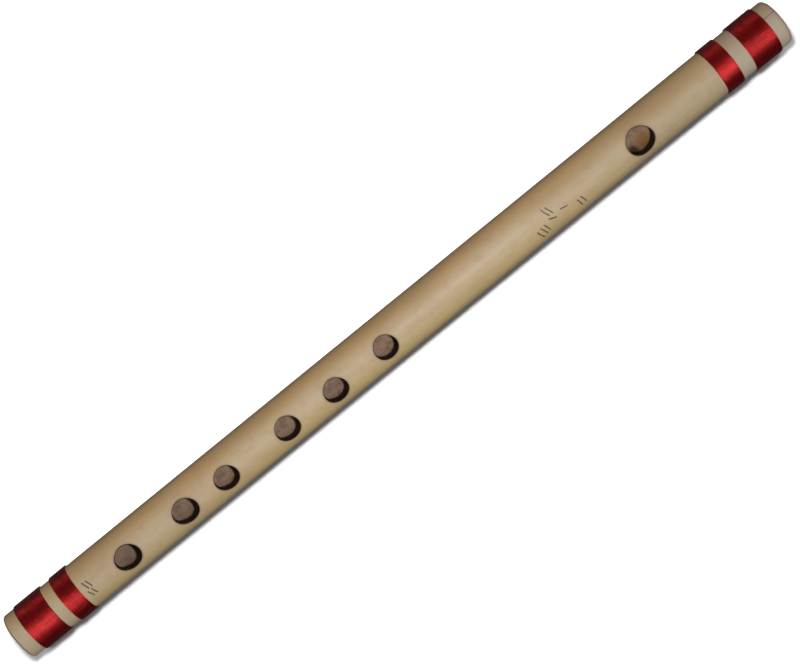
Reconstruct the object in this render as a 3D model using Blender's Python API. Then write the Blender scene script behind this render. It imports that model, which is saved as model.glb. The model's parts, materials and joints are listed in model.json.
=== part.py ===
"""Side-blown bamboo flute: a bored bamboo tube with a mouth hole and six finger holes, a cork stopper
that slides in the bore, and four thread bindings wound round the tube's ends.

Frame: metres, +Z up. The flute lies on its bindings on the plane Z = 0 with its finger holes facing up.
+X runs along the bore from the open foot to the head, and X = 0 is halfway along the tube.
"""

import math

import bmesh
import bpy
from mathutils import Matrix

MM = 0.001

# Driving dimensions
TUBE_LENGTH = 326.8 * MM
TUBE_RADIUS = 8.6 * MM
BORE_RADIUS = 6.2 * MM
THREAD_GAUGE = 0.5 * MM  # how far a binding stands out of the bamboo

FOOT_EDGE_ROUND = 0.9 * MM
HEAD_EDGE_ROUND = 1.8 * MM
BORE_EDGE_ROUND = 0.3 * MM

SIDES = 48  # flats round every turned piece, with one flat facing straight down
HOLE_SIDES = 32
ARC_STEPS = 3  # straight steps in a rounded edge

# The holes: X, turn about the bore in degrees from straight up (positive towards -Y), and the two
# diameters of the oval, along the tube and across it
MOUTH_HOLE = (101.4 * MM, 0.0, 10.0 * MM, 9.5 * MM)
FINGER_HOLES = (  # foot to head
    (-117.1 * MM, -0.8, 9.3 * MM, 8.5 * MM),
    (-92.7 * MM, 0.4, 9.2 * MM, 8.5 * MM),
    (-75.2 * MM, 0.7, 8.6 * MM, 8.2 * MM),
    (-49.2 * MM, 0.9, 8.7 * MM, 8.3 * MM),
    (-28.8 * MM, 3.0, 8.7 * MM, 8.3 * MM),
    (-7.1 * MM, -1.2, 8.4 * MM, 8.3 * MM),
)

# The bindings: name, and the X of their two ends
BINDINGS = (
    ("foot_wide_binding", -158.5 * MM, -147.2 * MM),
    ("foot_narrow_binding", -143.4 * MM, -136.1 * MM),
    ("head_narrow_binding", 135.1 * MM, 142.3 * MM),
    ("head_wide_binding", 147.1 * MM, 158.4 * MM),
)
BINDING_GAP = 0.1 * MM  # between the bamboo and a binding's inside
BINDING_EDGE_ROUND = 0.2 * MM

STOPPER_LENGTH = 15.0 * MM
STOPPER_GAP = 0.15 * MM  # between the cork and the bore
STOPPER_BEVEL = 0.5 * MM
STOPPER_FACE_X = MOUTH_HOLE[0] + 2 * BORE_RADIUS  # one bore diameter past the mouth hole's centre

# Derived
BINDING_RADIUS = TUBE_RADIUS + THREAD_GAUGE
AXIS_HEIGHT = BINDING_RADIUS * math.cos(math.pi / SIDES)  # the bindings' lowest flats lie on Z = 0
CUTTER_TOP = 1.5 * TUBE_RADIUS

BAMBOO = ("bamboo", (0.60, 0.44, 0.27), 0.45)
CORK = ("cork", (0.52, 0.33, 0.18), 0.90)
THREAD = ("red_thread", (0.34, 0.012, 0.015), 0.40)


def clear_scene():
    """Removes whatever the scene holds."""
    for old in list(bpy.data.objects):
        bpy.data.objects.remove(old)


def make_material(name, colour, roughness):
    """A plain Principled material."""
    material = bpy.data.materials.new(name)
    material.use_nodes = True
    shader = material.node_tree.nodes["Principled BSDF"]
    shader.inputs["Base Color"].default_value = (*colour, 1.0)
    shader.inputs["Roughness"].default_value = roughness
    return material


def add_object(name, mesh_builder, parent, x=0.0, material=None):
    """Turns a bmesh into a named object on the bore's axis, at x along it."""
    mesh = bpy.data.meshes.new(name)
    mesh_builder.to_mesh(mesh)
    mesh_builder.free()
    mesh.shade_smooth()
    mesh.set_sharp_from_angle(angle=math.radians(30))
    part = bpy.data.objects.new(name, mesh)
    bpy.context.scene.collection.objects.link(part)
    part.parent = parent
    part.location.x = x
    if material:
        mesh.materials.append(material)
    return part


def rounded_corner(centre_x, centre_r, radius, start_degrees):
    """Points of a quarter circle in the (x, r) plane, turning anticlockwise from start_degrees."""
    points = []
    for step in range(ARC_STEPS + 1):
        angle = math.radians(start_degrees + 90 * step / ARC_STEPS)
        points.append((centre_x + radius * math.cos(angle), centre_r + radius * math.sin(angle)))
    return points


def turned_ring(profile):
    """A ring about the X axis whose closed (x, r) profile is spun once round, with a flat at the bottom."""
    ring = bmesh.new()
    first_angle = math.pi / SIDES
    corners = [
        ring.verts.new((x, r * math.sin(first_angle), r * math.cos(first_angle))) for x, r in profile
    ]
    edges = [
        ring.edges.new((corner, corners[(index + 1) % len(corners)])) for index, corner in enumerate(corners)
    ]
    bmesh.ops.spin(
        ring,
        geom=corners + edges,
        cent=(0, 0, 0),
        axis=(1, 0, 0),
        angle=math.tau,
        steps=SIDES,
        use_merge=True,
    )
    bmesh.ops.recalc_face_normals(ring, faces=ring.faces)
    return ring


def tube_profile():
    """The bamboo's wall: rounded outside edges, the head's rounder than the foot's, and eased bore edges."""
    half = TUBE_LENGTH / 2
    head, foot, bore = HEAD_EDGE_ROUND, FOOT_EDGE_ROUND, BORE_EDGE_ROUND
    return (
        rounded_corner(half - head, TUBE_RADIUS - head, head, 0)
        + rounded_corner(-half + foot, TUBE_RADIUS - foot, foot, 90)
        + [(-half, BORE_RADIUS + bore), (-half + bore, BORE_RADIUS)]
        + [(half - bore, BORE_RADIUS), (half, BORE_RADIUS + bore)]
    )


def binding_profile(width):
    """A thread winding's outline: flat on the bamboo, with its outside corners rounded."""
    half = width / 2
    edge = BINDING_EDGE_ROUND
    inside = TUBE_RADIUS + BINDING_GAP
    return (
        rounded_corner(half - edge, BINDING_RADIUS - edge, edge, 0)
        + rounded_corner(-half + edge, BINDING_RADIUS - edge, edge, 90)
        + [(-half, inside), (half, inside)]
    )


def add_hole_cutter(name, tube, hole):
    """An oval rod from the bore's axis out through the top wall, which the tube's Boolean subtracts."""
    x, turn_degrees, along, across = hole
    rod = bmesh.new()
    bmesh.ops.create_cone(
        rod, cap_ends=True, segments=HOLE_SIDES, radius1=0.5, radius2=0.5, depth=CUTTER_TOP
    )
    bmesh.ops.scale(rod, vec=(along, across, 1.0), verts=rod.verts)
    bmesh.ops.translate(rod, vec=(0, 0, CUTTER_TOP / 2), verts=rod.verts)
    turn = Matrix.Rotation(math.radians(turn_degrees), 3, "X")
    bmesh.ops.rotate(rod, cent=(0, 0, 0), matrix=turn, verts=rod.verts)
    cutter = add_object(name, rod, tube.parent, x)
    cutter.hide_render = True
    cutter.display_type = "WIRE"
    cut = tube.modifiers.new(name, "BOOLEAN")
    cut.operation = "DIFFERENCE"
    cut.solver = "EXACT"
    cut.object = cutter


def add_tube(axis):
    """The bamboo tube with its seven holes."""
    tube = add_object("bamboo_tube", turned_ring(tube_profile()), axis, material=make_material(*BAMBOO))
    add_hole_cutter("mouth_hole_cutter", tube, MOUTH_HOLE)
    for number, hole in enumerate(FINGER_HOLES, start=1):
        add_hole_cutter(f"finger_hole_cutter_{number}", tube, hole)
    return tube


def add_stopper(axis):
    """The cork that closes the bore beyond the mouth hole. Its origin is on the bore's axis, where it slides."""
    cork = bmesh.new()
    radius = BORE_RADIUS - STOPPER_GAP
    bmesh.ops.create_cone(
        cork, cap_ends=True, segments=SIDES, radius1=radius, radius2=radius, depth=STOPPER_LENGTH
    )
    rims = [edge for edge in cork.edges if abs(edge.verts[0].co.z - edge.verts[1].co.z) < STOPPER_BEVEL]
    bmesh.ops.bevel(
        cork, geom=rims, offset=STOPPER_BEVEL, segments=2, profile=0.5, affect="EDGES", material=-1
    )
    half_flat = Matrix.Rotation(math.pi / SIDES, 3, "X")
    bmesh.ops.rotate(
        cork, cent=(0, 0, 0), matrix=half_flat @ Matrix.Rotation(math.pi / 2, 3, "Y"), verts=cork.verts
    )
    middle = STOPPER_FACE_X + STOPPER_LENGTH / 2
    return add_object("stopper_cork", cork, axis, middle, make_material(*CORK))


def add_bindings(axis):
    """The four thread windings, wide ones at the ends and narrow ones beside them."""
    thread = make_material(*THREAD)
    for name, start, end in BINDINGS:
        add_object(name, turned_ring(binding_profile(end - start)), axis, (start + end) / 2, thread)


def main():
    """Builds the flute."""
    clear_scene()
    axis = bpy.data.objects.new("bore_axis", None)
    bpy.context.scene.collection.objects.link(axis)
    axis.location.z = AXIS_HEIGHT
    add_tube(axis)
    add_stopper(axis)
    add_bindings(axis)


main()
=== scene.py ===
"""The looks of a side-blown bamboo flute: its bamboo tube, cork stopper and silk thread bindings.

Every length is in metres, in the frame of the flute's own parts. +X runs along the bore from the open
foot to the head, and +Z is up, through the mouth hole.
"""

import json
import logging
import math
import random
from collections.abc import Sequence
from dataclasses import dataclass
from enum import Enum
from functools import reduce
from typing import ClassVar

import bmesh
import bpy
from mathutils import Matrix, Vector, noise


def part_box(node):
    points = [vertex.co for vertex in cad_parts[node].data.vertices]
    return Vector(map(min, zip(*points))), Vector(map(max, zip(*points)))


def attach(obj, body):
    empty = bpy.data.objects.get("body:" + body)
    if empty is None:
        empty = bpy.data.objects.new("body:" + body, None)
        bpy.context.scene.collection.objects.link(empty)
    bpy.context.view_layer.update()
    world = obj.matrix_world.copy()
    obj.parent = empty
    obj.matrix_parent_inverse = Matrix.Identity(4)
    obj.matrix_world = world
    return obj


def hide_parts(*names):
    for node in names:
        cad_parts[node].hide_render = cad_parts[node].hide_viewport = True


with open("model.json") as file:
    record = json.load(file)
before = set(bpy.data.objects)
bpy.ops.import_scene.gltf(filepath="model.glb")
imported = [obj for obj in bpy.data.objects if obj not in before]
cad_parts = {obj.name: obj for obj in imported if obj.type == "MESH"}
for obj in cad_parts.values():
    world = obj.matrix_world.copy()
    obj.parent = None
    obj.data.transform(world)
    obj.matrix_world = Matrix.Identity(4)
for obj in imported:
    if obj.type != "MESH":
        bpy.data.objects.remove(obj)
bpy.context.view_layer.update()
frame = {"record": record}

MM = 0.001
TUBE_LOW, TUBE_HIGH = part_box("bamboo_tube")
AXIS_HEIGHT = (TUBE_LOW.z + TUBE_HIGH.z) / 2
TUBE_RADIUS = (TUBE_HIGH.y - TUBE_LOW.y) / 2
UNEVEN = 0.05 * MM  # about how far the bamboo strays inwards from a true cylinder
SAME_PLACE = 0.001 * MM  # vertices closer than this are merged

Colour = tuple[float, float, float]
log = logging.getLogger("bamboo_flute")


# Shader helpers


@dataclass(frozen=True, eq=False)
class Wire:
    """A shader socket that carries a value, on which Python's operators add Math nodes."""

    graph: "NodeTree"
    socket: bpy.types.NodeSocket

    def __add__(self, other: "Wire | float") -> "Wire":
        """Sum."""
        return self.graph.math("ADD", self, other)

    __radd__ = __add__

    def __sub__(self, other: "Wire | float") -> "Wire":
        """Difference."""
        return self.graph.math("SUBTRACT", self, other)

    def __rsub__(self, other: float) -> "Wire":
        """Difference, with the plain number first."""
        return self.graph.math("SUBTRACT", other, self)

    def __mul__(self, other: "Wire | float") -> "Wire":
        """Product."""
        return self.graph.math("MULTIPLY", self, other)

    __rmul__ = __mul__

    def __truediv__(self, other: "Wire | float") -> "Wire":
        """Quotient."""
        return self.graph.math("DIVIDE", self, other)

    def __pow__(self, other: "Wire | float") -> "Wire":
        """Power."""
        return self.graph.math("POWER", self, other)


class NodeTree:
    """A tree of shader nodes, with short ways to add to it."""

    def __init__(self, tree: bpy.types.ShaderNodeTree) -> None:
        """Keeps the tree."""
        self.tree = tree

    def feed(self, node: bpy.types.Node, socket: str | int, value: object) -> None:
        """Links or sets one input.

        Args:
            node: The node whose input it is.
            socket: The input's name, identifier or place.
            value: A Wire to link, or a number, colour or vector to set.
        """
        inputs = node.inputs
        if isinstance(socket, int):
            target = inputs[socket]
        else:
            target = next((s for s in inputs if s.identifier == socket), None) or inputs[socket]
        if isinstance(value, Wire):
            self.tree.links.new(value.socket, target)
        elif target.type == "RGBA":
            target.default_value = (*value, 1.0)
        else:
            target.default_value = value

    def node(
        self,
        kind: str,
        settings: dict[str, object] | None = None,
        inputs: dict[str | int, object] | None = None,
        output: str | int = 0,
    ) -> Wire:
        """Adds any node.

        Args:
            kind: The node's type, without the leading ShaderNode.
            settings: Its own properties, such as a Math node's operation.
            inputs: What its sockets are linked or set to.
            output: The output to read, by identifier or place.

        Returns:
            The chosen output.
        """
        made = self.tree.nodes.new("ShaderNode" + kind)
        for key, value in (settings or {}).items():
            setattr(made, key, value)
        for socket, value in (inputs or {}).items():
            self.feed(made, socket, value)
        if isinstance(output, int):
            return Wire(self, made.outputs[output])
        return Wire(self, next(s for s in made.outputs if s.identifier == output))

    def math(self, operation: str, *values: Wire | float, clamp: bool = False) -> Wire:
        """A Math node on one, two or three values."""
        settings = {"operation": operation, "use_clamp": clamp}
        return self.node("Math", settings, dict(enumerate(values)))

    def least(self, values: Sequence[Wire]) -> Wire:
        """The least of some values."""
        return reduce(lambda first, second: self.math("MINIMUM", first, second), values)

    def distance(self, first: Wire, second: Wire) -> Wire:
        """The length of the line that has these two runs at right angles."""
        return self.math("SQRT", first * first + second * second)

    def ramp(self, value: Wire, low: float, high: float, start: float = 0.0, end: float = 1.0) -> Wire:
        """Eases a value from start, at low and below it, to end, at high and above it."""
        inputs = {"Value": value, "From Min": low, "From Max": high, "To Min": start, "To Max": end}
        return self.node("MapRange", {"interpolation_type": "SMOOTHSTEP"}, inputs)

    def mix(self, first: Wire | Colour, second: Wire | Colour, factor: Wire | float) -> Wire:
        """Mixes two colours by a factor."""
        inputs = {"A_Color": first, "B_Color": second, "Factor_Float": factor}
        return self.node("Mix", {"data_type": "RGBA"}, inputs, "Result_Color")

    def noise(self, coords: Wire, scale: float = 1.0, detail: float = 2.0, roughness: float = 0.5) -> Wire:
        """Cloudy noise from 0 to 1 at the coordinates, times scale."""
        inputs = {"Vector": coords, "Scale": scale, "Detail": detail, "Roughness": roughness}
        return self.node("TexNoise", None, inputs, "Fac")

    def stretched(self, coords: Wire, along: float, across: float) -> Wire:
        """The coordinates scaled by one number along the flute and another across it."""
        return self.node("Mapping", None, {"Vector": coords, "Scale": (along, across, across)})

    def centred(self) -> Wire:
        """Object coordinates, moved so that the bore's axis is at Y = Z = 0."""
        place = self.node("TexCoord", None, None, "Object")
        return self.node("Mapping", None, {"Vector": place, "Location": (0.0, 0.0, -AXIS_HEIGHT)})

    def split(self, coords: Wire) -> list[Wire]:
        """The X, Y and Z of coordinates."""
        parts = self.node("SeparateXYZ", None, {"Vector": coords})
        return [Wire(self, output) for output in parts.socket.node.outputs]


class Graph(NodeTree):
    """The node tree of one material, with a Principled shader ready in it."""

    def __init__(self, name: str, **constants: float | Colour) -> None:
        """Makes the material.

        Args:
            name: The material's name.
            constants: Values for the shader's own sockets, with underscores for spaces.
        """
        self.material = bpy.data.materials.new(name)
        self.material.use_nodes = True
        super().__init__(self.material.node_tree)
        self.shader = self.tree.nodes["Principled BSDF"]
        for socket, value in constants.items():
            self.feed(self.shader, socket.replace("_", " "), value)

    def bump(self, height: Wire, distance: float, strength: float = 1.0) -> None:
        """Raises the shader's surface by a height from 0 to 1, times distance in metres."""
        inputs = {"Height": height, "Distance": distance, "Strength": strength}
        self.feed(self.shader, "Normal", self.node("Bump", None, inputs))

    def finish(self, colour: Wire | Colour, roughness: Wire | float) -> bpy.types.Material:
        """Ends the material.

        Args:
            colour: The shader's colour.
            roughness: Its roughness.

        Returns:
            The material.
        """
        self.feed(self.shader, "Base Color", colour)
        self.feed(self.shader, "Roughness", roughness)
        return self.material


# Shared steps of building


def lathe(
    shape: bmesh.types.BMesh,
    outline: Sequence[bmesh.types.BMVert | bmesh.types.BMEdge],
    axis: tuple[int, int, int],
    sides: int,
) -> None:
    """Spins an outline one whole turn about an axis through the origin.

    Args:
        shape: The bmesh that the outline is in.
        outline: Its vertices and edges.
        axis: The direction of the axis.
        sides: How many sides the turned shape has.
    """
    bmesh.ops.spin(
        shape,
        geom=outline,
        cent=(0, 0, 0),
        axis=axis,
        angle=math.tau,
        steps=sides,
        use_merge=True,
    )


def make_piece(
    name: str,
    shape: bmesh.types.BMesh,
    materials: Sequence[bpy.types.Material],
) -> bpy.types.Object:
    """Makes an object of a bmesh, shaded smooth, and frees the bmesh.

    Args:
        name: The piece's name.
        shape: Its shape, in place.
        materials: Its material slots, in order.

    Returns:
        The new object.
    """
    mesh = bpy.data.meshes.new(name)
    shape.to_mesh(mesh)
    shape.free()
    mesh.shade_smooth()
    for material in materials:
        mesh.materials.append(material)
    piece = bpy.data.objects.new(name, mesh)
    bpy.context.scene.collection.objects.link(piece)
    return piece


def add_to_flute(piece: bpy.types.Object, body: str, node: str) -> None:
    """Makes a piece part of the flute.

    Args:
        piece: The finished piece.
        body: The body it moves with.
        node: The plain part it stands for.
    """
    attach(piece, body)
    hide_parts(node)
    log.info("%s: %d faces, rides on %s", piece.name, len(piece.data.polygons), body)


def swell(x: float, angle: float) -> float:
    """How far the bamboo strays from a true cylinder at a place on it, in metres: inwards, if at all."""
    place = Vector((16.0 * x, 0.7 * math.cos(angle), 0.7 * math.sin(angle)))
    return UNEVEN * (noise.noise(place) - 1)


# The tube


@dataclass(frozen=True)
class ToneHole:
    """A hole burnt through the top of the tube with a hot rod, slightly oval."""

    name: str
    x: float
    turn: float  # about the bore's axis, from straight up towards -Y
    length: float
    width: float

    eased: ClassVar[float] = 0.22 * MM  # radius of its lip
    lip_end: ClassVar[int] = 74  # degrees round the lip, where it meets the skin
    sides: ClassVar[int] = 96

    @classmethod
    def from_record(cls) -> list["ToneHole"]:
        """Places the holes where the record's openings for them are.

        Returns:
            The mouth hole, and then the finger holes from the foot on.
        """
        sizes = {  # in mm, along the tube and across it
            "mouth_hole": (10.0, 9.5),
            "finger_hole_1": (9.3, 8.5),
            "finger_hole_2": (9.2, 8.5),
            "finger_hole_3": (8.6, 8.2),
            "finger_hole_4": (8.7, 8.3),
            "finger_hole_5": (8.7, 8.3),
            "finger_hole_6": (8.4, 8.3),
        }
        holes = []
        for opening in frame["record"]["physics"]["openings"]:
            if "hole" not in opening["name"]:
                continue
            low, high = (Vector(corner) for corner in opening["box_m"])
            middle = (low + high) / 2
            turn = math.atan2(-middle.y, middle.z - AXIS_HEIGHT)
            length, width = sizes[opening["name"]]
            holes.append(cls(opening["name"], middle.x, turn, length * MM, width * MM))
        return holes

    def edge(self, angle: float) -> float:
        """How far the hole's outline strays from an oval at an angle round it, as a share of its radius."""
        phase = 300.0 * self.x
        return 1 + 0.008 * math.sin(2 * angle + phase) + 0.007 * math.sin(3 * angle + 5 * phase)

    def _lip(self) -> list[tuple[float, float]]:
        """Rounds the hole's lip.

        Returns:
            The lip's points, as distances out from the hole's wall and up from the tube's surface.
        """
        lip = []
        for degrees in (0, 20, 40, 60, self.lip_end):
            angle = math.radians(degrees)
            lip.append((self.eased * (1 - math.cos(angle)), self.eased * (math.sin(angle) - 1)))
        out, up = lip[-1]
        run = 0.3 * MM  # on past the surface, at the slope that the lip ends with
        return [*lip, (out + run * math.tan(math.radians(self.lip_end)), up + run)]

    def cutter(self, bore_radius: float) -> bmesh.types.BMesh:
        """A plug the shape of the hole, whose lip follows the tube's curved outside.

        Args:
            bore_radius: The bore's radius.

        Returns:
            The plug's bmesh, in place.
        """
        radius = self.width / 2
        over, under = 4.0 * MM, -1.2 * MM  # the plug's ends, past the skin and past the bore's wall
        lip = [(radius + out, up, TUBE_RADIUS) for out, up in self._lip()]
        top, bottom = (0.0, over, TUBE_RADIUS), (radius, under, bore_radius)
        profile = [top, *reversed(lip), bottom, (0.0, under, 0.5 * bore_radius)]
        plug = bmesh.new()
        # Each point remembers the radius of the surface that its height is taken from
        surface = plug.verts.layers.float.new("surface")
        points = []
        for out, up, drape in profile:
            point = plug.verts.new((out, 0.0, up))
            point[surface] = drape
            points.append(point)
        edges = [plug.edges.new(pair) for pair in zip(points, points[1:])]
        lathe(plug, points + edges, (0, 0, 1), self.sides)
        bmesh.ops.remove_doubles(plug, verts=plug.verts, dist=SAME_PLACE)
        for point in plug.verts:
            angle = math.atan2(point.co.y, point.co.x)
            across = point.co.y * self.edge(angle)
            along = point.co.x * self.edge(angle) * self.length / self.width
            height = math.sqrt(max(point[surface] ** 2 - across**2, 0.0)) + point.co.z
            point.co = (along, across, height)
        turn = Matrix.Rotation(self.turn, 3, "X")
        bmesh.ops.rotate(plug, cent=(0, 0, 0), matrix=turn, verts=plug.verts)
        bmesh.ops.translate(plug, vec=(self.x, 0.0, AXIS_HEIGHT), verts=plug.verts)
        bmesh.ops.recalc_face_normals(plug, faces=plug.faces)
        return plug


class Finish(Enum):
    """The material slots of the tube."""

    SKIN = 0
    END_GRAIN = 1
    BORE = 2
    BURNT = 3


@dataclass(frozen=True)
class Stroke:
    """A short dark line on the bamboo, in mm. Its ends are given along the tube, and round it towards -Y."""

    start: tuple[float, float]
    end: tuple[float, float]
    half_width: float = 0.2


@dataclass(frozen=True)
class BambooSkin:
    """The satin natural skin of the tube, scorched round the holes and sanded at the ends."""

    # Painted sheen: a paler, whiter skin tone for the band that faces the camera and the key lamp
    painted_sheen: Colour = (0.60, 0.464, 0.300)
    straw: Colour = (0.585, 0.436, 0.212)
    honey: Colour = (0.62, 0.395, 0.188)
    shade: Colour = (0.44, 0.30, 0.16)
    dull: Colour = (0.30, 0.28, 0.28)
    sanded: Colour = (0.53, 0.44, 0.33)
    scorch: Colour = (0.045, 0.024, 0.014)
    ink: Colour = (0.05, 0.04, 0.05)
    plain_reach: float = 55.0 * MM  # from the tube's middle, as far as the skin keeps its plain tone
    dulled_reach: float = 125.0 * MM  # and from where on it is at its dullest and darkest

    def material(
        self,
        holes: Sequence[ToneHole],
        sanded_from: float,
        strokes: Sequence[Stroke],
    ) -> bpy.types.Material:
        """Makes the material.

        Args:
            holes: The holes whose edges are scorched.
            sanded_from: How far from the tube's middle the skin is sanded for the thread.
            strokes: The dark lines on the bamboo.

        Returns:
            The material.
        """
        graph = Graph("bamboo_skin", Specular_IOR_Level=0.2)
        place = graph.centred()
        x, y, z = graph.split(place)
        fibre = graph.noise(graph.stretched(place, 12.0, 2600.0), detail=2.0)
        streak = graph.noise(graph.stretched(place, 9.0, 420.0), detail=3.0)
        cloud = graph.noise(graph.stretched(place, 30.0, 110.0), detail=3.0)
        blotch = graph.noise(place, 300.0, 4.0, 0.6)
        across = y + (cloud - 0.5) * (3.0 * MM)
        far_side = graph.ramp(across, -0.3 * TUBE_RADIUS, 0.8 * TUBE_RADIUS)
        from_middle = graph.math("ABSOLUTE", x)
        sanding = graph.ramp(from_middle, sanded_from - 0.4 * MM, sanded_from + 0.4 * MM)

        colour = graph.mix(self.straw, self.honey, far_side)
        # Painted sheen: paler skin along a line a little towards +Y of the top, fading out over three
        # quarters of the radius
        from_sheen_line = graph.math("ABSOLUTE", across - 0.22 * TUBE_RADIUS)
        colour = graph.mix(colour, self.painted_sheen, graph.ramp(from_sheen_line, 0.0, 0.75 * TUBE_RADIUS, 1.0, 0.0))
        marks = (
            (cloud, 0.42, 0.72, 0.32),
            (blotch, 0.46, 0.7, 0.26),
            (streak, 0.46, 0.7, 0.16),
            (fibre, 0.5, 0.75, 0.18),
        )
        for mark, low, high, most in marks:
            colour = graph.mix(colour, self.shade, graph.ramp(mark, low, high, 0.0, most))
        colour = self._end_tones(graph, colour, x, far_side, sanding)
        scorching = self._scorching(graph, (x, y, z), holes, blotch)
        colour = graph.mix(colour, self.scorch, scorching)
        colour = graph.mix(colour, self.ink, self._inked(graph, (x, y, z), strokes, blotch) * 0.85)

        roughness = 0.46 + (streak - 0.5) * 0.18 + sanding * 0.22 + scorching * 0.3
        graph.bump(fibre * 0.35 + streak * 0.65 + scorching * -2.0, 0.02 * MM, 0.6)
        return graph.finish(colour, roughness)

    def _end_tones(self, graph: Graph, colour: Wire, x: Wire, far_side: Wire, sanding: Wire) -> Wire:
        """Dulls and darkens the skin towards the ends, most on the far side at the head, pales it where it
        is sanded, and darkens the last mm at the foot.

        Args:
            graph: The material's graph.
            colour: The colour of clean skin.
            x: How far along the tube a place is.
            far_side: 1 on the side of the tube towards +Y.
            sanding: 1 where the skin is sanded.

        Returns:
            The aged colour.
        """
        near_side = 1.0 - far_side
        dulled = graph.ramp(graph.math("ABSOLUTE", x), self.plain_reach, self.dulled_reach)
        at_head = graph.ramp(x, self.plain_reach, self.dulled_reach)
        colour = graph.mix(colour, self.dull, (dulled * 0.08 + at_head * 0.16) * near_side)
        colour = graph.mix(colour, self.shade, at_head * far_side * 0.4)
        paler = graph.ramp(x, TUBE_LOW.x, TUBE_HIGH.x, 0.45, 0.85) * (1.0 - far_side * 0.8)
        colour = graph.mix(colour, self.sanded, sanding * paler)
        colour = graph.mix(colour, self.dull, sanding * far_side * at_head * 0.3)
        # Darker, in the scorch colour, over the last 0.8 mm of skin at the foot end
        foot_rim_dark = graph.ramp(x, TUBE_LOW.x + 0.1 * MM, TUBE_LOW.x + 0.8 * MM, 0.75, 0.0)
        return graph.mix(colour, self.scorch, foot_rim_dark)

    @staticmethod
    def _scorching(graph: Graph, place: Sequence[Wire], holes: Sequence[ToneHole], ragged: Wire) -> Wire:
        """Finds where the skin is scorched by the rod that burnt the holes.

        Args:
            graph: The material's graph.
            place: X, Y and Z from the bore's axis.
            holes: The holes.
            ragged: Noise from 0 to 1 for the scorching's edge.

        Returns:
            A mask that is 1 at the lip of each hole and fades out over the skin.
        """
        x, y, z = place
        reaches = []
        for hole in holes:
            along = (x - hole.x) / (hole.length / 2)
            across = (y * math.cos(hole.turn) + z * math.sin(hole.turn)) / (hole.width / 2)
            reaches.append(graph.distance(along, across))
        reach = graph.least(reaches) + (ragged - 0.5) * 0.05
        dark = graph.ramp(reach, 1.02, 1.10, 1.0, 0.0)
        stain = graph.ramp(reach, 1.03, 1.24, 0.28, 0.0)
        on_top = graph.math("GREATER_THAN", z, 0.0)
        return graph.math("MAXIMUM", dark, stain) * on_top

    @staticmethod
    def _inked(graph: Graph, place: Sequence[Wire], strokes: Sequence[Stroke], wobble: Wire) -> Wire:
        """Finds the dark lines.

        Args:
            graph: The material's graph.
            place: X, Y and Z from the bore's axis.
            strokes: The lines.
            wobble: Noise from 0 to 1 that makes them unsteady.

        Returns:
            A mask that is 1 on each line.
        """
        x, y, z = place
        round_tube = graph.math("ARCTAN2", y * -1.0, z) * TUBE_RADIUS
        shake = (wobble - 0.5) * (0.8 * MM)
        point = graph.node("CombineXYZ", None, {"X": x + shake, "Y": round_tube - shake})
        gaps = []
        for stroke in strokes:
            start = Vector((*stroke.start, 0.0)) * MM
            run = Vector((*stroke.end, 0.0)) * MM - start
            from_start = graph.node("VectorMath", {"operation": "SUBTRACT"}, {0: point, 1: start})
            dot = graph.node("VectorMath", {"operation": "DOT_PRODUCT"}, {0: from_start, 1: run}, "Value")
            share = graph.math("MULTIPLY", dot, 1 / run.length_squared, clamp=True)
            on_line = graph.node("VectorMath", {"operation": "SCALE"}, {0: run, "Scale": share})
            away = graph.node("VectorMath", {"operation": "DISTANCE"}, {0: from_start, 1: on_line}, "Value")
            gaps.append(away / (stroke.half_width * MM))
        return graph.ramp(graph.least(gaps), 0.7, 1.6, 1.0, 0.0)


@dataclass(frozen=True)
class EndGrain:
    """Cut bamboo: dark bundles of fibre in pale pith, close together under the skin."""

    pith: Colour = (0.58, 0.45, 0.28)
    bundle: Colour = (0.20, 0.12, 0.06)
    rind: Colour = (0.36, 0.25, 0.12)

    def material(self, bore_radius: float) -> bpy.types.Material:
        """Makes the material for a wall between the bore's radius and the tube's.

        Args:
            bore_radius: The bore's radius.

        Returns:
            The material.
        """
        graph = Graph("bamboo_end_grain", Specular_IOR_Level=0.35)
        _, y, z = graph.split(graph.centred())
        flat = graph.node("CombineXYZ", None, {"Y": y, "Z": z})
        depth = graph.ramp(graph.distance(y, z), bore_radius, TUBE_RADIUS)
        cells = graph.node("TexVoronoi", None, {"Vector": flat, "Scale": 2100.0}, "Distance")
        dots = graph.ramp(cells, 0.2, 0.45, 1.0, 0.0) * (0.35 + 0.6 * depth)
        colour = graph.mix(self.pith, self.rind, depth**3.0 * 0.6)
        colour = graph.mix(colour, self.bundle, dots)
        graph.bump(1.0 - dots, 0.03 * MM, 0.7)
        return graph.finish(colour, 0.72)


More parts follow.
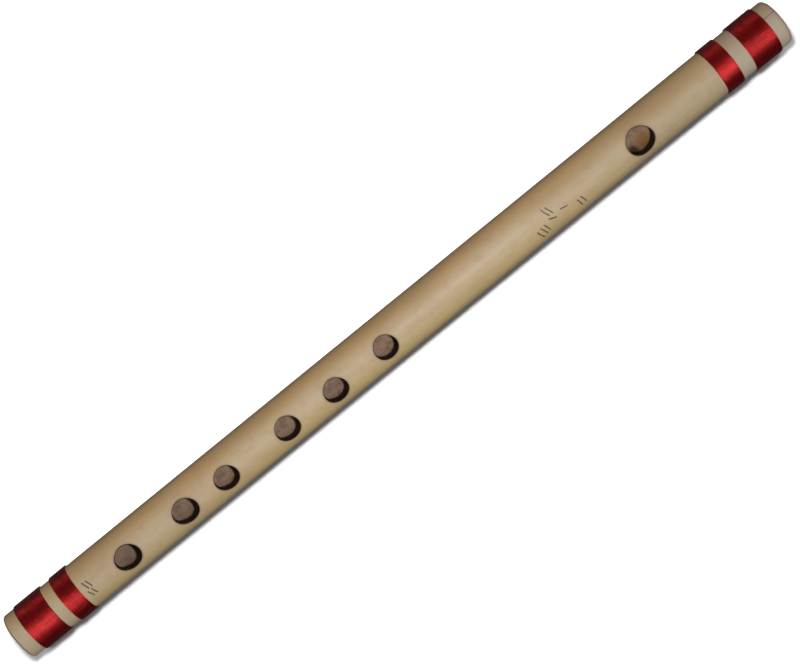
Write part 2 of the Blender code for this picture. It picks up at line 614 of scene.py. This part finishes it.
@dataclass(frozen=True)
class BoreWall:
    """The raw, reamed inside of the bamboo, browner and greyer than its skin."""

    wall: Colour = (0.40, 0.262, 0.182)
    stain: Colour = (0.18, 0.11, 0.072)
    wax: Colour = (0.33, 0.155, 0.045)
    # A darker brown-black spot on the bore below the mouth hole
    dark_patch: Colour = (0.05, 0.022, 0.013)
    wax_spot: tuple[float, float] = (2.8 * MM, -4.6 * MM)  # from the middle of the mouth hole, X and Y
    dark_patch_spot: tuple[float, float] = (-2.0 * MM, -5.0 * MM)

    def material(self, mouth: ToneHole) -> bpy.types.Material:
        """Makes the material, with a drip of the stopper's wax and a dark spot below the mouth hole.

        Args:
            mouth: The mouth hole.

        Returns:
            The material.
        """
        graph = Graph("bamboo_bore", Specular_IOR_Level=0.25)
        place = graph.centred()
        x, y, _ = graph.split(place)
        fibre = graph.noise(graph.stretched(place, 160.0, 900.0), detail=3.0)
        smudge = graph.noise(place, 420.0, 4.0, 0.7)
        colour = graph.mix(self.wall, self.stain, graph.ramp(fibre, 0.45, 0.75, 0.0, 0.4))
        colour = graph.mix(colour, self.stain, graph.ramp(smudge, 0.42, 0.68, 0.0, 0.7))
        colour = graph.mix(colour, self.stain, graph.ramp(x, -125.0 * MM, -45.0 * MM, 0.35, 0.0))
        spots = ((self.wax, self.wax_spot, 4.6 * MM), (self.dark_patch, self.dark_patch_spot, 2.3 * MM))
        for tone, (spot_x, spot_y), reach in spots:
            away = graph.distance(x - (mouth.x + spot_x), y - spot_y) + (smudge - 0.5) * (2.0 * MM)
            colour = graph.mix(colour, tone, graph.ramp(away, 0.8 * MM, reach, 0.9, 0.0))
        graph.bump(fibre * 0.4 + smudge * 0.6, 0.12 * MM, 0.6)
        return graph.finish(colour, 0.78)


@dataclass(frozen=True)
class BurntWall:
    """The charred wall of a hole, browner where the rod only scorched it."""

    char: Colour = (0.010, 0.007, 0.006)
    brown: Colour = (0.06, 0.03, 0.018)

    def material(self) -> bpy.types.Material:
        """Makes the material.

        Returns:
            The material.
        """
        graph = Graph("burnt_bamboo", Specular_IOR_Level=0.3)
        place = graph.centred()
        patches = graph.noise(place, 700.0, 4.0, 0.6)
        grain = graph.noise(graph.stretched(place, 200.0, 2400.0), detail=2.0)
        colour = graph.mix(self.char, self.brown, graph.ramp(patches, 0.42, 0.7))
        graph.bump(patches * 0.5 + grain * 0.5, 0.1 * MM, 0.8)
        return graph.finish(colour, 0.7)


@dataclass(frozen=True)
class BambooTube:
    """The bored bamboo tube with its mouth hole and finger holes."""

    bore_radius: float = 6.2 * MM
    foot_round: float = 0.9 * MM  # radius of the outer edge at the foot
    head_round: float = 1.8 * MM  # and at the head
    bore_round: float = 0.3 * MM  # and of the bore's edges
    sides: int = 160
    coarse: float = 2.4 * MM  # between rings of vertices, away from the holes
    fine: float = 0.55 * MM  # and beside them
    beside: float = 1.6 * MM  # how far past a hole's ends that is
    bore_step: float = 4.0 * MM  # between rings inside the bore
    seam: float = 0.37  # of a side off the top, so that no vertex lies in a hole's own plane of symmetry
    facing_end: float = 0.8  # X of a face's normal, past which it belongs to an end
    crease: float = 38.0  # degrees between faces, past which their edge is sharp

    strokes: tuple[Stroke, ...] = (
        Stroke((-134.4, -3.3), (-133.6, -0.6)),
        Stroke((-133.0, -3.1), (-132.2, -0.5)),
        Stroke((-134.4, 0.3), (-133.7, 2.6)),
        Stroke((-132.9, 0.2), (-132.3, 2.5)),
        Stroke((55.8, 2.2), (57.0, 5.7)),
        Stroke((57.5, 1.8), (58.6, 5.2)),
        Stroke((59.0, 1.6), (60.0, 4.8)),
        Stroke((61.2, -3.2), (62.2, 0.0)),
        Stroke((62.8, -3.0), (63.8, 0.1)),
        Stroke((61.5, 1.0), (64.0, 2.0)),
        Stroke((66.6, 0.7), (69.2, 1.1)),
        Stroke((72.8, 2.0), (73.6, 5.0)),
        Stroke((74.4, 1.9), (75.2, 4.8)),
        Stroke((158.0, -5.7), (163.3, -5.8), 0.09),  # a hairline crack at the head
    )

    def _rings(self, holes: Sequence[ToneHole], start: float, end: float) -> list[float]:
        """Spaces the rings of vertices along the outside, close together beside the holes.

        Args:
            holes: The holes.
            start: X of the first ring.
            end: X of the last ring.

        Returns:
            X of each ring.
        """
        rings = [start]
        while rings[-1] < end - self.coarse:
            near = any(abs(rings[-1] - hole.x) < hole.length / 2 + self.beside for hole in holes)
            rings.append(rings[-1] + (self.fine if near else self.coarse))
        return [*rings, end]

    @staticmethod
    def _corner(
        x: float,
        r: float,
        radius: float,
        start_degrees: float,
        steps: int,
    ) -> list[tuple[float, float]]:
        """Points of a quarter circle round (x, r), turning anticlockwise."""
        angles = [math.radians(start_degrees + 90 * step / steps) for step in range(steps + 1)]
        return [(x + radius * math.cos(a), r + radius * math.sin(a)) for a in angles]

    def _wall(self, holes: Sequence[ToneHole]) -> bmesh.types.BMesh:
        """Spins the wall's outline round the bore.

        Args:
            holes: The holes, which are still to be cut.

        Returns:
            The tube without its holes, with its finishes.
        """
        head, foot = TUBE_HIGH.x, TUBE_LOW.x
        radius, edge = TUBE_RADIUS, self.bore_round
        outside = self._rings(holes, foot + self.foot_round, head - self.head_round)
        bore_steps = round((head - foot) / self.bore_step)
        bore = [foot + edge + (head - foot - 2 * edge) * step / bore_steps for step in range(bore_steps + 1)]
        outline = [
            *self._corner(head - self.head_round, radius - self.head_round, self.head_round, 0, 10),
            *((x, radius) for x in reversed(outside[1:-1])),
            *self._corner(foot + self.foot_round, radius - self.foot_round, self.foot_round, 90, 6),
            *self._corner(foot + edge, self.bore_radius + edge, edge, 180, 4),
            *((x, self.bore_radius) for x in bore[1:-1]),
            *self._corner(head - edge, self.bore_radius + edge, edge, 270, 4),
        ]
        start = self.seam * math.tau / self.sides
        wall = bmesh.new()
        points = [wall.verts.new((x, r * math.sin(start), r * math.cos(start))) for x, r in outline]
        edges = [wall.edges.new((point, points[place - 1])) for place, point in enumerate(points)]
        lathe(wall, points + edges, (1, 0, 0), self.sides)
        bmesh.ops.translate(wall, vec=(0.0, 0.0, AXIS_HEIGHT), verts=wall.verts)
        bmesh.ops.recalc_face_normals(wall, faces=wall.faces)
        for face in wall.faces:
            face.material_index = self._finish_of(face).value
        return wall

    def _finish_of(self, face: bmesh.types.BMFace) -> Finish:
        """Chooses the finish of a face of the plain wall.

        Args:
            face: The face.

        Returns:
            Its finish.
        """
        middle = face.calc_center_median()
        out = math.hypot(middle.y, middle.z - AXIS_HEIGHT)
        if out < self.bore_radius + 0.1 * self.bore_round:
            return Finish.BORE
        if abs(face.normal.x) > self.facing_end:
            return Finish.END_GRAIN
        return Finish.SKIN

    def build(self, sanded_from: float) -> bpy.types.Object:
        """Makes the tube.

        Args:
            sanded_from: How far from the tube's middle the skin is sanded for the thread.

        Returns:
            The tube.
        """
        holes = ToneHole.from_record()
        materials = (
            BambooSkin().material(holes, sanded_from, self.strokes),
            EndGrain().material(self.bore_radius),
            BoreWall().material(holes[0]),
            BurntWall().material(),
        )
        tube = make_piece("bamboo_flute_tube", self._wall(holes), materials)
        self._cut(tube, holes, materials)
        for vertex in tube.data.vertices:
            self._grow(vertex)
        tube.data.shade_smooth()
        tube.data.set_sharp_from_angle(angle=math.radians(self.crease))
        even = tube.modifiers.new("even_shading", "WEIGHTED_NORMAL")
        even.keep_sharp = True
        add_to_flute(tube, "tube", "bamboo_tube")
        return tube

    def _cut(
        self,
        tube: bpy.types.Object,
        holes: Sequence[ToneHole],
        materials: Sequence[bpy.types.Material],
    ) -> None:
        """Cuts the holes.

        Args:
            tube: The tube, without its holes.
            holes: The holes.
            materials: The tube's material slots.
        """
        plugs = bmesh.new()
        for hole in holes:
            plug = hole.cutter(self.bore_radius)
            mesh = bpy.data.meshes.new(hole.name)
            plug.to_mesh(mesh)
            plug.free()
            plugs.from_mesh(mesh)
            bpy.data.meshes.remove(mesh)
        for face in plugs.faces:
            face.material_index = Finish.BURNT.value
        cutter = make_piece("hole_cutter", plugs, materials)
        cut = tube.modifiers.new("holes", "BOOLEAN")
        cut.operation = "DIFFERENCE"
        cut.solver = "MANIFOLD"  # the exact solver loses the tube
        cut.object = cutter
        plain = tube.data
        depsgraph = bpy.context.evaluated_depsgraph_get()
        tube.data = bpy.data.meshes.new_from_object(tube.evaluated_get(depsgraph))
        tube.modifiers.clear()
        bpy.data.meshes.remove(plain)
        bpy.data.objects.remove(cutter)

    @staticmethod
    def _grow(vertex: bpy.types.MeshVertex) -> None:
        """Moves a vertex of the true tube to where the uneven bamboo has it.

        Args:
            vertex: The vertex.
        """
        up = vertex.co.z - AXIS_HEIGHT
        out = math.hypot(vertex.co.y, up)
        scale = 1 + swell(vertex.co.x, math.atan2(vertex.co.y, up)) / max(out, MM)
        vertex.co.y *= scale
        vertex.co.z = AXIS_HEIGHT + up * scale


# The thread


@dataclass(frozen=True)
class SilkThread:
    """Crimson silk thread of two plies, with a soft sheen."""

    crimson: Colour = (0.33, 0.004, 0.004)
    # The thread's darker tone, also used as painted shade in the grooves between the plies
    deep_tone_and_groove_shade: Colour = (0.08, 0.001, 0.001)

    def material(self) -> bpy.types.Material:
        """Makes the material, which reads the mesh's own attributes "ply" and "along".

        Returns:
            The material.
        """
        graph = Graph(
            "crimson_silk",
            Metallic=0.94,
            Specular_IOR_Level=0.3,
            Coat_Weight=0.28,
            Coat_Roughness=0.33,
        )
        ply = graph.node("Attribute", {"attribute_name": "ply"}, None, "Fac")
        along = graph.node("Attribute", {"attribute_name": "along"}, None, "Fac")
        shades = graph.node("TexNoise", {"noise_dimensions": "1D"}, {"W": along, "Scale": 90.0}, "Fac")
        floss = graph.node("CombineXYZ", None, {"X": along * 900.0, "Y": ply * 9.0})
        strands = graph.noise(floss, 1.0, 2.0)
        # Painted shade: darker in the grooves between the plies, crimson on their tops
        colour = graph.mix(self.deep_tone_and_groove_shade, self.crimson, graph.ramp(ply, -0.1, 0.6))
        colour = graph.mix(colour, self.deep_tone_and_groove_shade, graph.ramp(shades, 0.4, 0.75, 0.0, 0.5))
        colour = graph.mix(colour, self.deep_tone_and_groove_shade, graph.ramp(strands, 0.45, 0.8, 0.0, 0.4))
        roughness = 0.31 + (strands - 0.5) * 0.3
        graph.bump(strands, 0.05 * MM, 0.8)
        return graph.finish(colour, roughness)


@dataclass(frozen=True)
class Coil:
    """The middle line of a thread that is wound about the X axis, and the thread's size."""

    start: float  # X of its first turn's start, on the underside
    pitch: float  # between turns
    middle: float  # radius of the middle line
    thick: float  # half the thread's thickness
    turns: int


@dataclass(frozen=True)
class ThreadBinding:
    """One layer of thread wound tight round the tube, with its ends tucked under."""

    node: str
    seed: int

    pitch: ClassVar[float] = 0.425 * MM  # about, between turns
    lay: ClassVar[float] = 1.9 * MM  # thread for one turn of its two plies round each other
    steps: ClassVar[int] = 220  # round the tube
    section: ClassVar[int] = 8  # round the thread
    groove: ClassVar[float] = 0.78  # of the plain thread's size, between the plies
    ply_rise: ClassVar[float] = 0.20  # and how much more on top of a ply
    slack: ClassVar[float] = 0.02  # and how much more or less with the thread's tension
    stray: ClassVar[float] = 0.10  # of the pitch, how far a turn strays along the tube
    tuck: ClassVar[float] = 0.7  # radians over which an end dives under
    dive: ClassVar[float] = 0.8  # of half the thread's thickness, how deep its end goes
    tip: ClassVar[float] = 0.15  # of the plain thread's size, at its very end

    def build(self, silk: bpy.types.Material) -> bpy.types.Object:
        """Makes the winding.

        Args:
            silk: The thread's material.

        Returns:
            The winding.
        """
        low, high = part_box(self.node)
        width = high.x - low.x
        turns = round(width / self.pitch) - 1
        pitch = width / (turns + 1)
        thick = ((high.y - low.y) / 2 - TUBE_RADIUS) / 2
        coil = Coil(low.x + pitch / 2, pitch, TUBE_RADIUS + thick, thick, turns)
        winding = self._wind(coil)
        self._twist(winding, coil)
        bmesh.ops.holes_fill(winding, edges=[edge for edge in winding.edges if edge.is_boundary])
        bmesh.ops.recalc_face_normals(winding, faces=winding.faces)
        bmesh.ops.translate(winding, vec=(0.0, 0.0, AXIS_HEIGHT), verts=winding.verts)
        piece = make_piece(self.node.replace("binding", "winding"), winding, [silk])
        add_to_flute(piece, "tube", self.node)
        return piece

    def _wind(self, coil: Coil) -> bmesh.types.BMesh:
        """Winds a plain thread of oval section, as one spun turn repeated.

        Args:
            coil: Where the thread runs.

        Returns:
            The thread, open at its ends.
        """
        turn = bmesh.new()
        ring = bmesh.ops.create_circle(turn, segments=self.section, radius=1.0)["verts"]
        for point in ring:
            x, y, _ = point.co
            point.co = (coil.start + x * coil.pitch / 2, 0.0, -coil.middle - y * coil.thick)
        bmesh.ops.spin(
            turn,
            geom=ring + turn.edges[:],
            cent=(0, 0, 0),
            axis=(1, 0, 0),
            dvec=(coil.pitch / self.steps, 0, 0),
            angle=math.tau,
            steps=self.steps,
        )
        one_turn = bpy.data.meshes.new("one_turn")
        turn.to_mesh(one_turn)
        turn.free()
        thread = bmesh.new()
        for _ in range(coil.turns):
            thread.from_mesh(one_turn)
            one_turn.transform(Matrix.Translation((coil.pitch, 0.0, 0.0)))
        bpy.data.meshes.remove(one_turn)
        bmesh.ops.remove_doubles(thread, verts=thread.verts, dist=SAME_PLACE)
        return thread

    def _twist(self, winding: bmesh.types.BMesh, coil: Coil) -> None:
        """Gives the plain thread its two plies, uneven tension and tucked ends.

        Args:
            winding: The thread, about the X axis.
            coil: Where it runs.
        """
        rng = random.Random(self.seed)
        phase = rng.uniform(0, math.tau)
        # A whole number of plies shows in one turn, so that they line up with the next turn's
        plies = round(2 * math.tau * coil.middle / self.lay)
        ply_layer = winding.verts.layers.float.new("ply")
        along_layer = winding.verts.layers.float.new("along")
        for point in winding.verts:
            x, y, z = point.co
            part = math.atan2(y, -z) / math.tau  # of a turn, from the underside towards +Y
            turned = math.tau * (round((x - coil.start) / coil.pitch - part) + part)
            line_x = coil.start + coil.pitch * turned / math.tau
            out = math.hypot(y, z) - coil.middle
            section = math.atan2(out / coil.thick, (x - line_x) / (coil.pitch / 2))
            along = turned * coil.middle
            tension = noise.noise(Vector((along * 40.0, self.seed, 0.0)))
            spot = Vector((x * 260.0, 5 * y / coil.middle, 5 * z / coil.middle))
            ply = abs(math.cos(section - plies * turned / 2 + phase + 1.3 * noise.noise(spot)))
            size = self.groove + self.ply_rise * ply + self.slack * tension
            left = min(turned + 0.5, math.tau * coil.turns - turned + 0.5) / self.tuck
            size *= min(1.0, max(left, self.tip))
            sunk = (1 - min(1.0, max(left, 0.0))) * coil.thick * self.dive
            wander = self.stray * coil.pitch * noise.noise(spot * 0.8)
            radius = coil.middle + out * size - sunk + swell(x, math.atan2(y, z))
            scale = radius / math.hypot(y, z)
            point.co = (line_x + (x - line_x) * size + wander, y * scale, z * scale)
            point[ply_layer] = ply
            point[along_layer] = along


# The stopper


@dataclass(frozen=True)
class CutCork:
    """Cut cork: close granules with dark pores."""

    cork: Colour = (0.50, 0.32, 0.18)
    light: Colour = (0.62, 0.43, 0.27)
    pore: Colour = (0.10, 0.05, 0.03)

    def material(self) -> bpy.types.Material:
        """Makes the material.

        Returns:
            The material.
        """
        graph = Graph("cut_cork", Specular_IOR_Level=0.25)
        place = graph.centred()
        cells = graph.node("TexVoronoi", None, {"Vector": place, "Scale": 1500.0}, "Distance")
        tone = graph.noise(place, 500.0, 3.0)
        pores = graph.ramp(graph.noise(graph.stretched(place, 260.0, 760.0), detail=3.0), 0.62, 0.68)
        colour = graph.mix(self.cork, self.light, graph.ramp(tone, 0.35, 0.65))
        colour = graph.mix(colour, self.cork, graph.ramp(cells, 0.35, 0.7))
        colour = graph.mix(colour, self.pore, pores * 0.85)
        graph.bump(cells * -0.3 - pores, 0.15 * MM, 0.8)
        return graph.finish(colour, 0.85)


@dataclass(frozen=True)
class Stopper:
    """The cork in the bore: a turned plug with eased edges and a slightly full middle."""

    bevel: float = 0.6 * MM
    full: float = 0.006  # of its radius, by which the middle is wider than the ends
    crease: float = 50.0  # degrees between faces, past which their edge is sharp
    rings: int = 30
    sides: int = 96

    def build(self) -> bpy.types.Object:
        """Makes the stopper.

        Returns:
            The stopper.
        """
        low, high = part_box("stopper_cork")
        radius = (high.y - low.y) / 2
        half = (high.x - low.x) / 2
        plug = bmesh.new()
        outline = [(-half, 0.0), (-half, radius * 0.5), (-half, radius - self.bevel)]
        for step in range(self.rings + 1):
            share = 2 * step / self.rings - 1
            outline.append((share * (half - self.bevel), radius * (1 - self.full * share**2)))
        outline += [(half, radius - self.bevel), (half, radius * 0.5), (half, 0.0)]
        points = [plug.verts.new((x, 0.0, r)) for x, r in outline]
        edges = [plug.edges.new(pair) for pair in zip(points, points[1:])]
        lathe(plug, points + edges, (1, 0, 0), self.sides)
        bmesh.ops.remove_doubles(plug, verts=plug.verts, dist=SAME_PLACE)
        bmesh.ops.recalc_face_normals(plug, faces=plug.faces)
        bmesh.ops.translate(plug, vec=((low.x + high.x) / 2, 0.0, AXIS_HEIGHT), verts=plug.verts)
        piece = make_piece("cork_stopper", plug, [CutCork().material()])
        piece.data.set_sharp_from_angle(angle=math.radians(self.crease))
        add_to_flute(piece, "stopper", "stopper_cork")
        return piece


# The studio


class Lit(Enum):
    """What a lamp lights."""

    BAMBOO = 0
    SILK = 1
    FLOOR = 2


class LampKind(Enum):
    """How a lamp shines: as a soft panel, or as evenly as the sun from the same direction."""

    PANEL = "AREA"
    SUN = "SUN"


@dataclass(frozen=True)
class Lamp:
    """A soft lamp above the flute."""

    name: str
    distance: float
    lean: float  # degrees from the camera's line of sight, towards -Y
    along: float  # X of the lamp
    size: tuple[float, float]  # along the flute, across it
    power: float
    lit: Lit
    kind: LampKind = LampKind.PANEL


@dataclass(frozen=True)
class Studio:
    """The pale floor, the lights and the camera."""

    view_lean: float = 18.1  # degrees from straight up, towards +Y
    view_distance: float = 0.719  # from the bore's axis
    lens: float = 96.75  # mm
    flute_slope: float = 39.14  # degrees that the flute climbs across the frame
    nudge: tuple[float, float] = (0.63 * MM, -1.19 * MM)  # of the camera, right and up
    sky_lean: float = 63.1  # degrees from straight up, towards +Y, to where the sky is brightest
    sky_least: float = 0.04
    sky_most: float = 0.22
    paper: Colour = (0.75, 0.75, 0.75)
    paper_reach: float = 4.0  # from its middle to each edge
    paper_gap: float = 0.1 * MM  # between it and the flute

    lamps: tuple[Lamp, ...] = (
        Lamp("key", 0.55, 6.5, 0.035, (0.02, 0.02), 1.78, Lit.BAMBOO),
        Lamp("soft_box", 0.55, 55.0, -0.01, (0.25, 0.14), 0.45, Lit.BAMBOO),
        Lamp("silk_foot", 0.60, 14.0, -0.20, (0.22, 0.25), 3.1, Lit.SILK),
        Lamp("silk_head", 0.60, 40.0, 0.20, (0.22, 0.36), 5.4, Lit.SILK),
        Lamp("silk_side", 0.60, -80.0, 0.0, (0.30, 0.26), 1.6, Lit.SILK),
        Lamp("floor_lamp", 0.63, -8.4, 0.012, (0.085, 0.085), 6.2, Lit.FLOOR),
        Lamp("floor_fill", 0.60, -8.4, 0.0, (0.60, 0.60), 0.45, Lit.FLOOR),
        Lamp("floor_sun_foot", 0.60, -8.4, 0.15, (0.085, 0.085), 1.0, Lit.FLOOR, LampKind.SUN),
        Lamp("floor_sun_head", 0.60, -8.4, -0.15, (0.085, 0.085), 1.0, Lit.FLOOR, LampKind.SUN),
    )

    def _out(self, lean_degrees: float) -> Vector:
        """The direction across the flute that leans from straight up towards +Y."""
        lean = math.radians(lean_degrees)
        return Vector((0.0, math.sin(lean), math.cos(lean)))

    def build(self, bamboo: Sequence[bpy.types.Object], windings: Sequence[bpy.types.Object]) -> None:
        """Makes the studio.

        Args:
            bamboo: The tube and the stopper in it.
            windings: The pieces of thread.
        """
        floor = self._floor()
        self._world()
        receivers = {Lit.BAMBOO: bamboo, Lit.SILK: windings, Lit.FLOOR: [floor]}
        for lamp in self.lamps:
            self._lamp(lamp, receivers[lamp.lit])
        self._camera()
        bpy.context.scene.view_settings.view_transform = "Standard"

    def _floor(self) -> bpy.types.Object:
        """Lays a wide sheet of pale paper, which the flute neither mirrors nor is lit by.

        Returns:
            The sheet.
        """
        sheet = bmesh.new()
        bmesh.ops.create_grid(sheet, x_segments=1, y_segments=1, size=self.paper_reach)
        bmesh.ops.translate(sheet, vec=(0.0, 0.0, -self.paper_gap), verts=sheet.verts)
        graph = Graph("pale_paper", Specular_IOR_Level=0.0)
        floor = make_piece("floor", sheet, [graph.finish(self.paper, 0.9)])
        floor.visible_diffuse = False
        floor.visible_glossy = False
        return floor

    def _world(self) -> None:
        """An even sky, brighter on the side of the flute that the lamps leave darker."""
        world = bpy.data.worlds.new("studio")
        world.use_nodes = True
        nodes = NodeTree(world.node_tree)
        place = nodes.node("TexCoord", None, None, "Generated")
        towards = {0: place, 1: self._out(self.sky_lean)}
        height = nodes.node("VectorMath", {"operation": "DOT_PRODUCT"}, towards, "Value")
        climb = {"Value": height, "From Min": -1.0, "To Min": self.sky_least, "To Max": self.sky_most}
        sky = nodes.node("MapRange", None, climb)
        # Seen by the camera itself, past the floor's edge, it is a plain pale backdrop
        seen = nodes.node("LightPath", None, None, "Is Camera Ray")
        background = world.node_tree.nodes["Background"]
        nodes.feed(background, "Strength", nodes.math("MAXIMUM", seen, sky))
        nodes.feed(background, "Color", (1.0, 1.0, 1.0))
        bpy.context.scene.world = world

    def _lamp(self, lamp: Lamp, receivers: Sequence[bpy.types.Object]) -> None:
        """Makes a lamp that lights only some of the objects.

        Args:
            lamp: The lamp.
            receivers: The objects that it lights.
        """
        data = bpy.data.lights.new(lamp.name, lamp.kind.value)
        if lamp.kind is LampKind.SUN:
            data.angle = lamp.size[0] / lamp.distance
        else:
            data.shape = "RECTANGLE"
            data.size, data.size_y = lamp.size
        data.energy = lamp.power
        holder = bpy.data.objects.new(lamp.name, data)
        bpy.context.scene.collection.objects.link(holder)
        middle = Vector((0.0, 0.0, AXIS_HEIGHT))
        out = self._out(self.view_lean - lamp.lean)
        holder.location = middle + out * lamp.distance + Vector((lamp.along, 0.0, 0.0))
        holder.rotation_euler = (holder.location - middle).to_track_quat("Z", "Y").to_euler()
        holder.visible_camera = False
        lit = bpy.data.collections.new(lamp.name + "_lights")
        for receiver in receivers:
            lit.objects.link(receiver)
        holder.light_linking.receiver_collection = lit

    def _camera(self) -> None:
        """The camera, rolled so that the flute climbs from lower left to upper right."""
        out = self._out(self.view_lean)
        flute = Vector((1.0, 0.0, 0.0))
        side = out.cross(flute)
        slope = math.radians(self.flute_slope)
        right = math.cos(slope) * flute - math.sin(slope) * side
        up = math.sin(slope) * flute + math.cos(slope) * side
        place = Vector((0.0, 0.0, AXIS_HEIGHT)) + out * self.view_distance
        place += right * self.nudge[0] + up * self.nudge[1]
        data = bpy.data.cameras.new("camera")
        data.lens = self.lens
        data.sensor_width = 36.0
        data.clip_start = 0.01
        holder = bpy.data.objects.new("camera", data)
        bpy.context.scene.collection.objects.link(holder)
        turn = Matrix((right, up, out)).transposed().to_4x4()
        holder.matrix_world = Matrix.Translation(place) @ turn
        bpy.context.scene.camera = holder


def main() -> None:
    """Builds the flute and the studio round it."""
    logging.basicConfig(level=logging.INFO, format="%(message)s")
    silk = SilkThread().material()
    bindings = [
        ThreadBinding("foot_wide_binding", 3),
        ThreadBinding("foot_narrow_binding", 5),
        ThreadBinding("head_narrow_binding", 7),
        ThreadBinding("head_wide_binding", 11),
    ]
    sanded_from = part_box("head_narrow_binding")[0].x
    bamboo = [BambooTube().build(sanded_from), Stopper().build()]
    Studio().build(bamboo, [binding.build(silk) for binding in bindings])


if __name__ == "__main__":
    main()
